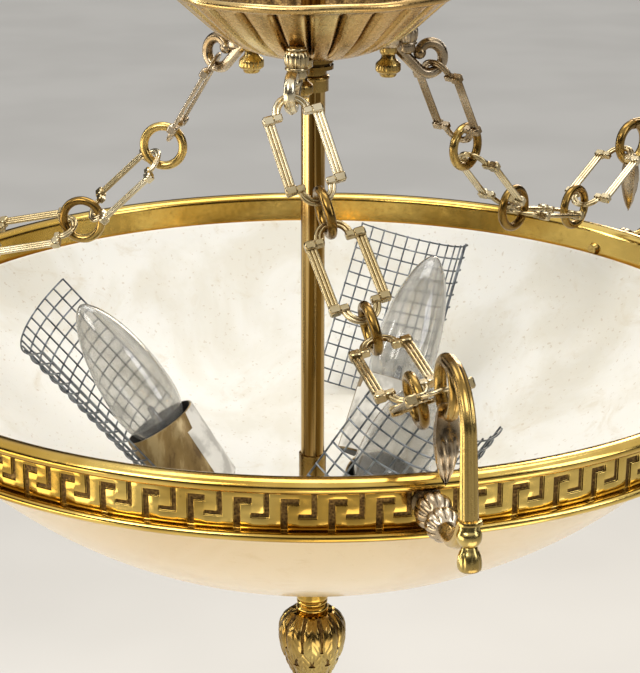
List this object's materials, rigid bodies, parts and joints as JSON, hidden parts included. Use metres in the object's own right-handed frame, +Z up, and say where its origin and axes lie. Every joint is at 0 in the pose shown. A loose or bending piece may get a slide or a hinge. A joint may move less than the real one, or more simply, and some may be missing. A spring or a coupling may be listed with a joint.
{
  "type": "pendant light",
  "caption": "Shallow opal glass bowl in a brass rim with a key pattern, hung by a centre rod and link-and-ring chains from a fluted brass corona, with candle lamps inside.",
  "frame": {"origin": "centre of the hanging eye at the top of the centre rod", "axes": "+Z up along the centre rod, -Y towards the viewer, +X to the viewer's right; the hanging eye's hole runs along Y"},
  "size_m": [0.527, 0.535, 0.4532],
  "materials": {
    "polished_brass": "polished and lacquered, slightly worn",
    "aged_brass": "aged, darker, satin",
    "pale_brass": "pale, worn, semi-bright",
    "opal_glass": "opal, mottled peach outside and cream inside",
    "clear_glass": "clear, slightly grey",
    "steel_mesh": "dull grey woven wire",
    "nickel_cap": "dull nickel",
    "ceramic": "white, glazed",
    "felt": "grey felt"
  },
  "bodies": {
    "pendant": {"hanging_loop": "polished_brass", "top_lock_nut": "polished_brass", "rod": "polished_brass", "corona": "polished_brass", "corona_washer": "polished_brass", "corona_collar": "polished_brass", "corona_arm_1": "pale_brass", "corona_arm_2": "pale_brass", "corona_arm_3": "pale_brass", "arm_screws": "aged_brass", "arm_nuts": "polished_brass", "rim_band": "polished_brass", "bracket_1": "aged_brass", "bracket_2": "aged_brass", "bracket_3": "aged_brass", "bracket_bosses": "pale_brass", "bracket_finials": "aged_brass", "bracket_bolts": "aged_brass", "bowl": "opal_glass", "bowl_gasket": "felt", "bowl_nut": "aged_brass", "bottom_cup": "polished_brass", "finial": "polished_brass", "lamp_hub": "aged_brass", "lampholder_1": "aged_brass", "lampholder_2": "aged_brass", "lampholder_3": "aged_brass", "socket_1": "ceramic", "socket_2": "ceramic", "socket_3": "ceramic", "mesh_guard_1": "steel_mesh", "mesh_guard_2": "steel_mesh", "mesh_guard_3": "steel_mesh"},
    "chain_1": {"chain_1_link_1": "pale_brass", "chain_1_link_2": "pale_brass", "chain_1_link_3": "pale_brass", "chain_1_link_4": "pale_brass"},
    "chain_1_ring_1_body": {"chain_1_ring_1": "aged_brass"},
    "chain_1_ring_2_body": {"chain_1_ring_2": "aged_brass"},
    "chain_1_ring_3_body": {"chain_1_ring_3": "aged_brass"},
    "chain_2": {"chain_2_link_1": "pale_brass", "chain_2_link_2": "pale_brass", "chain_2_link_3": "pale_brass", "chain_2_link_4": "pale_brass"},
    "chain_2_ring_1_body": {"chain_2_ring_1": "aged_brass"},
    "chain_2_ring_2_body": {"chain_2_ring_2": "aged_brass"},
    "chain_2_ring_3_body": {"chain_2_ring_3": "aged_brass"},
    "chain_3": {"chain_3_link_1": "pale_brass", "chain_3_link_2": "pale_brass", "chain_3_link_3": "pale_brass", "chain_3_link_4": "pale_brass"},
    "chain_3_ring_1_body": {"chain_3_ring_1": "aged_brass"},
    "chain_3_ring_2_body": {"chain_3_ring_2": "aged_brass"},
    "chain_3_ring_3_body": {"chain_3_ring_3": "aged_brass"},
    "lamp_1": {"bulb_1": "clear_glass", "bulb_cap_1": "nickel_cap"},
    "lamp_2": {"bulb_2": "clear_glass", "bulb_cap_2": "nickel_cap"},
    "lamp_3": {"bulb_3": "clear_glass", "bulb_cap_3": "nickel_cap"}
  },
  "joints": [
    {"name": "chain_1_swing", "type": "hinge", "parent": "pendant", "child": "chain_1", "pos_m": [-0.01071, -0.06761, -0.08484], "axis": [0.3082, -0.869, -0.3871], "range_deg": [0, 30]},
    {"name": "chain_1_ring_1_spin", "type": "hinge", "parent": "chain_1", "child": "chain_1_ring_1_body", "pos_m": [0.00576, -0.09227, -0.1298], "axis": [0.9466, 0.2399, 0.2152], "continuous": true},
    {"name": "chain_1_ring_2_spin", "type": "hinge", "parent": "chain_1", "child": "chain_1_ring_2_body", "pos_m": [0.02658, -0.13558, -0.17306], "axis": [0.9466, 0.2399, 0.2152], "continuous": true},
    {"name": "chain_1_ring_3_spin", "type": "hinge", "parent": "chain_1", "child": "chain_1_ring_3_body", "pos_m": [0.04466, -0.19573, -0.18557], "axis": [0.9466, 0.2399, 0.2152], "continuous": true},
    {"name": "chain_2_swing", "type": "hinge", "parent": "pendant", "child": "chain_2", "pos_m": [0.0639, 0.02453, -0.08484], "axis": [0.5985, 0.7014, -0.3871], "range_deg": [-8, 40]},
    {"name": "chain_2_ring_1_spin", "type": "hinge", "parent": "chain_2", "child": "chain_2_ring_1_body", "pos_m": [0.08235, 0.04614, -0.13059], "axis": [-0.7607, 0.6491, 0], "continuous": true},
    {"name": "chain_2_ring_2_spin", "type": "hinge", "parent": "chain_2", "child": "chain_2_ring_2_body", "pos_m": [0.11321, 0.08231, -0.17442], "axis": [-0.7607, 0.6491, 0], "continuous": true},
    {"name": "chain_2_ring_3_spin", "type": "hinge", "parent": "chain_2", "child": "chain_2_ring_3_body", "pos_m": [0.15402, 0.13014, -0.18659], "axis": [-0.7607, 0.6491, 0], "continuous": true},
    {"name": "chain_3_swing", "type": "hinge", "parent": "pendant", "child": "chain_3", "pos_m": [-0.0532, 0.04308, -0.08484], "axis": [-0.9067, 0.1676, -0.3871], "range_deg": [-8, 40]},
    {"name": "chain_3_ring_1_spin", "type": "hinge", "parent": "chain_3", "child": "chain_3_ring_1_body", "pos_m": [-0.08113, 0.04824, -0.13059], "axis": [-0.1818, -0.9833, 0], "continuous": true},
    {"name": "chain_3_ring_2_spin", "type": "hinge", "parent": "chain_3", "child": "chain_3_ring_2_body", "pos_m": [-0.12789, 0.05688, -0.17442], "axis": [-0.1818, -0.9833, 0], "continuous": true},
    {"name": "chain_3_ring_3_spin", "type": "hinge", "parent": "chain_3", "child": "chain_3_ring_3_body", "pos_m": [-0.18971, 0.06831, -0.18659], "axis": [-0.1818, -0.9833, 0], "continuous": true},
    {"name": "bulb_1_unscrew", "type": "hinge", "parent": "pendant", "child": "lamp_1", "pos_m": [0.03616, -0.07582, -0.275], "axis": [0.2281, -0.4783, 0.848], "continuous": true},
    {"name": "bulb_2_unscrew", "type": "hinge", "parent": "pendant", "child": "lamp_2", "pos_m": [0.04758, 0.06923, -0.275], "axis": [0.3002, 0.4367, 0.848], "continuous": true},
    {"name": "bulb_3_unscrew", "type": "hinge", "parent": "pendant", "child": "lamp_3", "pos_m": [-0.08374, 0.00659, -0.275], "axis": [-0.5283, 0.0416, 0.848], "continuous": true}
  ]
}
